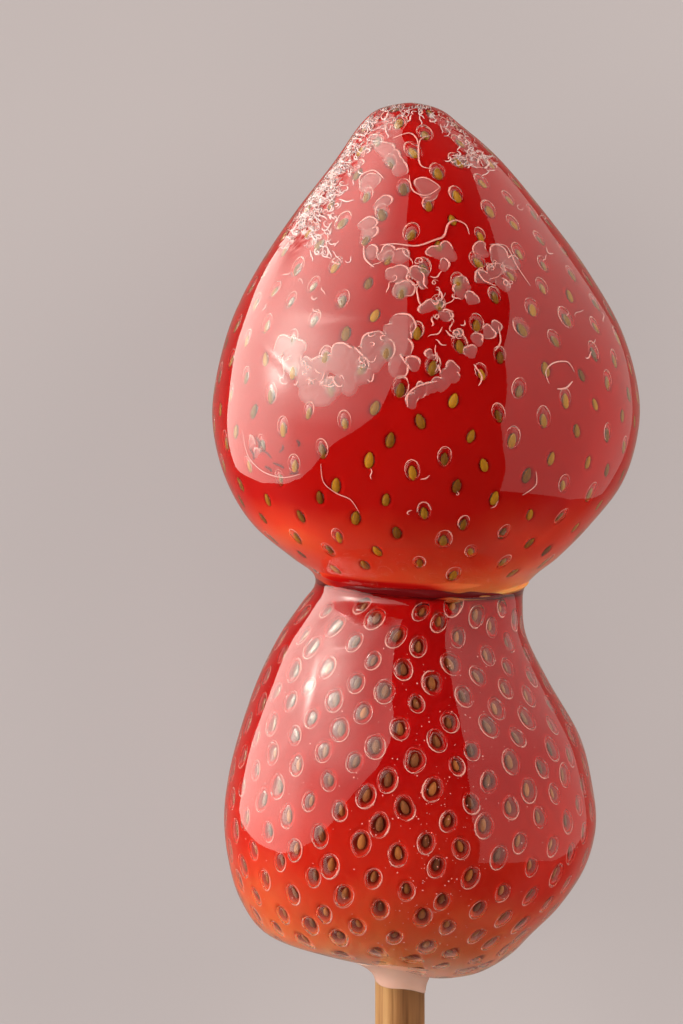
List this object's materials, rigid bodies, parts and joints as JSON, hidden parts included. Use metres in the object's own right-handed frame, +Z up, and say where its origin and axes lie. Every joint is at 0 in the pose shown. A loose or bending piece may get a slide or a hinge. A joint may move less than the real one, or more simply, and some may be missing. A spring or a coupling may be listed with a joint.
{
  "type": "candied strawberry skewer",
  "caption": "Hulled strawberries one after the other on a round wooden stick, each under a clear hard sugar shell; lies on its back on small flat spots.",
  "frame": {"origin": "middle of the object's box at its base, on the surface it lies on", "axes": "+Y along the stick towards the upper berry's tip, +Z up, towards the side shown in the picture, +X to that view's right"},
  "size_m": [0.0388, 0.1551, 0.0353],
  "materials": {
    "candied_strawberry": "red strawberry flesh with sunk yellow-brown seeds under a clear, glassy coat of hard sugar",
    "stick_wood": "bare pale wood with fine grain along its length"
  },
  "bodies": {
    "root": {"upper_strawberry": "candied_strawberry", "lower_strawberry": "candied_strawberry", "stick": "stick_wood"}
  },
  "joints": []
}
